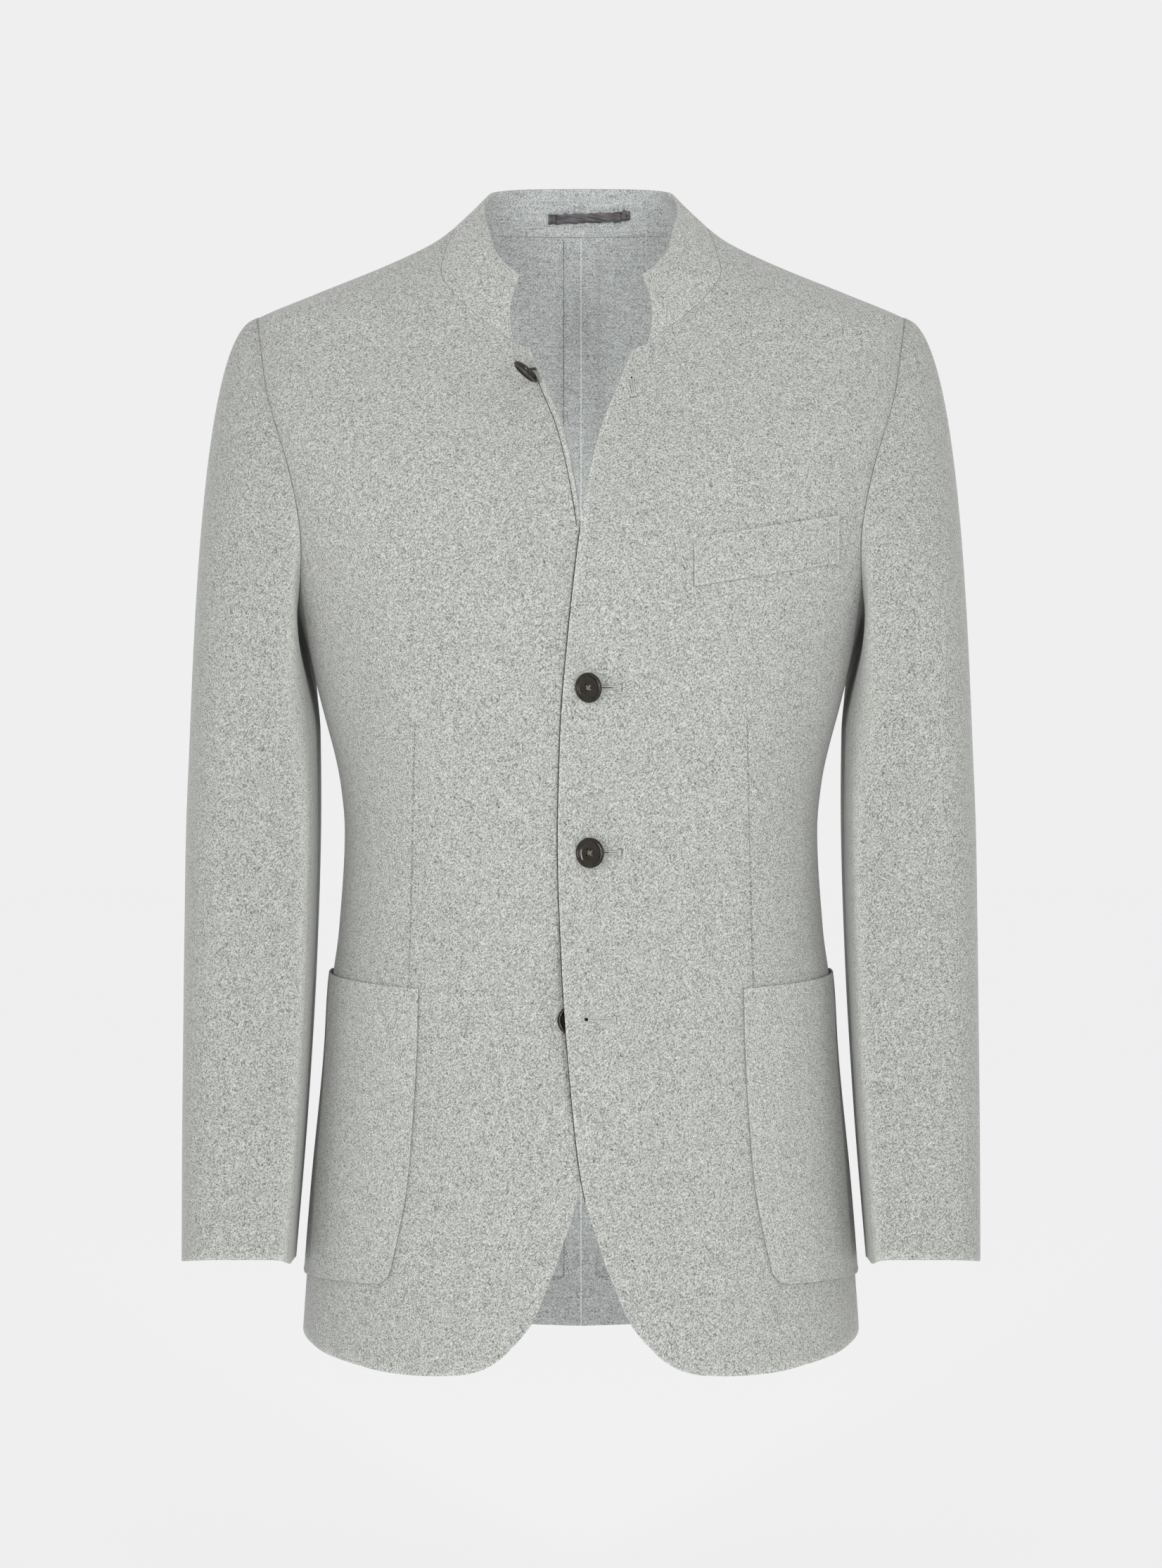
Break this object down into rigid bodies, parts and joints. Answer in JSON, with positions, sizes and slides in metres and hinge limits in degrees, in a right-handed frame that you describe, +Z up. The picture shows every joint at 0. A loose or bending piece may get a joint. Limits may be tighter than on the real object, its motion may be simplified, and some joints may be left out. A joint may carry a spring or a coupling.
{
  "type": "mandarin collar jacket",
  "caption": "Tailored wool jacket with a stand collar, patch pockets, breast welt and buttoned front, filled out as worn and open at neck, hem and cuffs.",
  "frame": {"origin": "on the wearer, between the shoulders, level with the neck points of the shoulder seams to 3 mm", "axes": "+Z up the wearer, -Y the way the wearer faces, +X to the wearer's left"},
  "size_m": [0.5368, 0.2885, 0.7985],
  "materials": {
    "wool": "brushed light grey melange flannel",
    "ribbon": "dark satin ribbon",
    "horn": "polished dark brown"
  },
  "bodies": {
    "root": {"front_left": "wool", "front_right": "wool", "back_left": "wool", "back_right": "wool", "sleeve_left_top": "wool", "sleeve_left_under": "wool", "sleeve_right_top": "wool", "sleeve_right_under": "wool", "collar": "wool", "patch_pocket_left": "wool", "patch_pocket_right": "wool", "breast_welt": "wool", "hanger_loop": "ribbon", "button_1": "horn", "button_2": "horn", "button_3": "horn", "button_4": "horn"}
  },
  "joints": []
}
